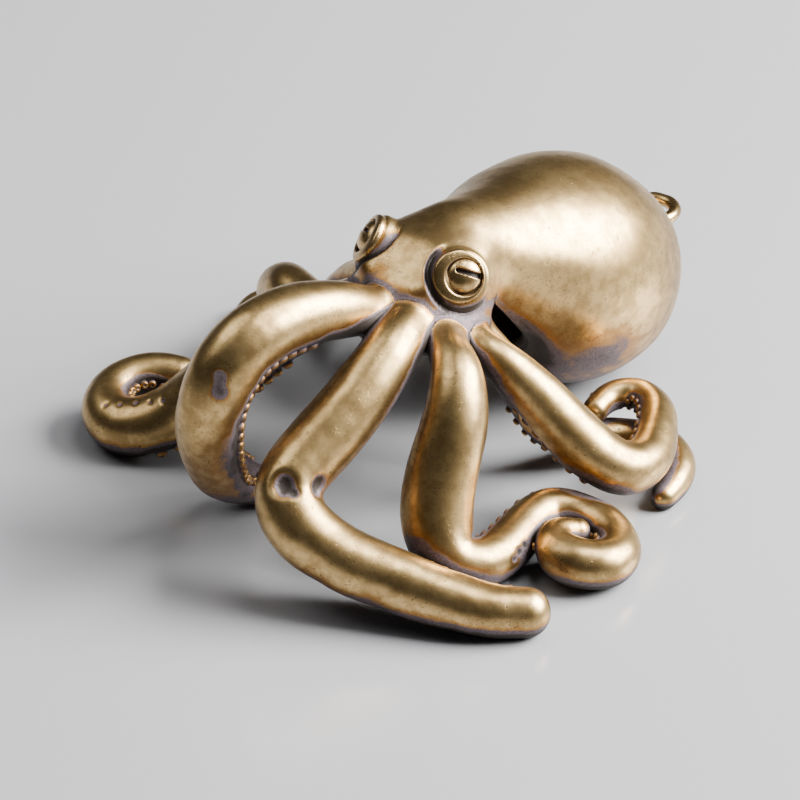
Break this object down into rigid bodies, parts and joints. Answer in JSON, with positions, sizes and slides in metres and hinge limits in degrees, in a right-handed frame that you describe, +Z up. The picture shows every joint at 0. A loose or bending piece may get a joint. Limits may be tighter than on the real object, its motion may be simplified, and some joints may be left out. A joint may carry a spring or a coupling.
{
  "type": "octopus figurine",
  "caption": "Small cast-brass octopus with curling sucker-lined arms, raised eyes, a hanging bulbous mantle and a loop behind it for a cord or ring.",
  "frame": {"origin": "middle of the footprint, on the table", "axes": "+Z up, the octopus faces -Y and its mantle and loop point to +Y, +X is the octopus's own left"},
  "size_m": [0.0504, 0.0572, 0.0222],
  "materials": {
    "aged_brass": "worn, softly polished brass with brown patina in its hollows",
    "dark_brass": "brown-grey patina left on brass where a polishing cloth doesn't reach",
    "bright_brass": "rubbed bright brass with dark lines in its grooves"
  },
  "bodies": {
    "root": {"mantle": "aged_brass", "head": "aged_brass", "arm_crown": "dark_brass", "hanging_loop": "bright_brass", "left_eye": "bright_brass", "right_eye": "bright_brass", "left_eye_rim": "bright_brass", "right_eye_rim": "bright_brass", "left_arm_1": "aged_brass", "left_arm_2": "aged_brass", "left_arm_3": "aged_brass", "left_arm_4": "aged_brass", "right_arm_1": "aged_brass", "right_arm_2": "aged_brass", "right_arm_3": "aged_brass", "right_arm_4": "aged_brass", "left_arm_1_suckers": "dark_brass", "left_arm_2_suckers": "dark_brass", "left_arm_3_suckers": "dark_brass", "left_arm_4_suckers": "dark_brass", "right_arm_1_suckers": "dark_brass", "right_arm_2_suckers": "dark_brass", "right_arm_3_suckers": "dark_brass", "right_arm_4_suckers": "dark_brass"}
  },
  "joints": []
}
